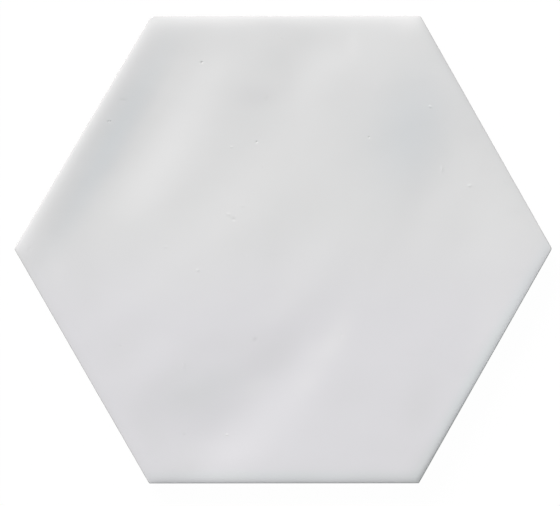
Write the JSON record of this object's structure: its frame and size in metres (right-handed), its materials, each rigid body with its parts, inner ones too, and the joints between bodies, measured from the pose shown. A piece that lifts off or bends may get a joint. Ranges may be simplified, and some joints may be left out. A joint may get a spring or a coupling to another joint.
{
  "type": "hexagon floor tile",
  "caption": "Flat hexagonal ceramic floor tile with a glossy white, softly undulating glazed face, rolled edges and a keyed back for bedding in adhesive.",
  "frame": {"origin": "middle of the bedding plane, the flat back that is set in adhesive", "axes": "+Z out of the glazed face; +X through a corner of the hexagon; +Y square to two of its flat sides"},
  "size_m": [0.2306, 0.2, 0.0094],
  "materials": {
    "glazed_body": "glossy white glaze over a pale fired body"
  },
  "bodies": {
    "root": {"hexagon_tile": "glazed_body"}
  },
  "joints": []
}
